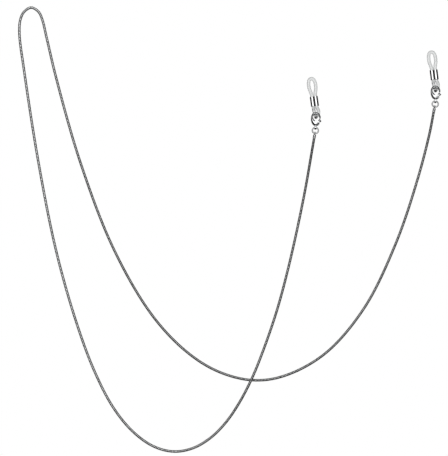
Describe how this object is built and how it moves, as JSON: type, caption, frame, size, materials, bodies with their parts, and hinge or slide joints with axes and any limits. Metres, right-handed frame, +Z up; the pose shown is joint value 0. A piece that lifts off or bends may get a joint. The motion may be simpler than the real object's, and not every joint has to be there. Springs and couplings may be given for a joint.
{
  "type": "eyeglasses chain strap",
  "caption": "Long silver snake chain strap for glasses, with a jump ring, lobster clasp and clear silicone temple loop at each end.",
  "frame": {"origin": "on the surface the strap lies on, under the middle of the box around the two end fittings, the chain left out", "axes": "+Z up from the surface; +Y from the chain's hanging bend towards the silicone loops; +X from the left fitting to the right one"},
  "size_m": [0.1903, 0.2009, 0.0049],
  "materials": {
    "chain_steel": "fine polished links, darker between them",
    "polished_steel": "bright polish",
    "spring_steel": "bright drawn strip",
    "clear_silicone": "clear translucent silicone, softly glossy"
  },
  "bodies": {
    "chain": {"snake_chain": "chain_steel", "chain_end_cap_left": "polished_steel", "chain_end_cap_right": "polished_steel"},
    "ring_left": {"jump_ring_left": "polished_steel"},
    "clasp_left": {"clasp_body_left": "polished_steel", "clasp_rivet_left": "polished_steel", "lever_spring_left": "spring_steel"},
    "lever_left": {"clasp_lever_left": "polished_steel"},
    "loop_left": {"silicone_loop_left": "clear_silicone"},
    "sleeve_left": {"sleeve_left": "polished_steel"},
    "ring_right": {"jump_ring_right": "polished_steel"},
    "clasp_right": {"clasp_body_right": "polished_steel", "clasp_rivet_right": "polished_steel", "lever_spring_right": "spring_steel"},
    "lever_right": {"clasp_lever_right": "polished_steel"},
    "loop_right": {"silicone_loop_right": "clear_silicone"},
    "sleeve_right": {"sleeve_right": "polished_steel"}
  },
  "joints": [
    {"name": "ring_left_swing", "type": "hinge", "parent": "chain", "child": "ring_left", "pos_m": [-0.0266, -0.0156, 0.00172], "axis": [0, 0, 1], "range_deg": [-95, 95]},
    {"name": "clasp_left_fold", "type": "hinge", "parent": "ring_left", "child": "clasp_left", "pos_m": [-0.02653, -0.01425, 0.00172], "axis": [0.9986, -0.0523, 0], "range_deg": [-100, 100]},
    {"name": "lever_left_open", "type": "hinge", "parent": "clasp_left", "child": "lever_left", "pos_m": [-0.02567, -0.01226, 0.00196], "axis": [-0.006, -0.1148, 0.9934], "range_deg": [0, 28], "stiffness_Nm_per_rad": 0.002, "springref_deg": -17.19},
    {"name": "loop_left_fold", "type": "hinge", "parent": "clasp_left", "child": "loop_left", "pos_m": [-0.0263, -0.00803, 0.00244], "axis": [0.9986, -0.0523, 0], "range_deg": [-10, 40]},
    {"name": "sleeve_left_slide", "type": "slide", "parent": "loop_left", "child": "sleeve_left", "axis": [-0.1342, 0.986, -0.0993], "range_m": [-0.0002, 0.0012]},
    {"name": "ring_right_swing", "type": "hinge", "parent": "chain", "child": "ring_right", "pos_m": [0.0273, -0.0037, 0.00172], "axis": [0, 0, 1], "range_deg": [-95, 95]},
    {"name": "clasp_right_fold", "type": "hinge", "parent": "ring_right", "child": "clasp_right", "pos_m": [0.02735, -0.00235, 0.00172], "axis": [0.9994, -0.0349, 0], "range_deg": [-100, 100]},
    {"name": "lever_right_open", "type": "hinge", "parent": "clasp_right", "child": "lever_right", "pos_m": [0.02817, -0.00034, 0.00196], "axis": [-0.004, -0.1149, 0.9934], "range_deg": [0, 28], "stiffness_Nm_per_rad": 0.002, "springref_deg": -17.19},
    {"name": "loop_right_fold", "type": "hinge", "parent": "clasp_right", "child": "loop_right", "pos_m": [0.02746, 0.00388, 0.00244], "axis": [0.9994, -0.0349, 0], "range_deg": [-10, 40]},
    {"name": "sleeve_right_slide", "type": "slide", "parent": "loop_right", "child": "sleeve_right", "axis": [-0.1186, 0.9879, -0.0999], "range_m": [-0.0002, 0.0012]}
  ]
}
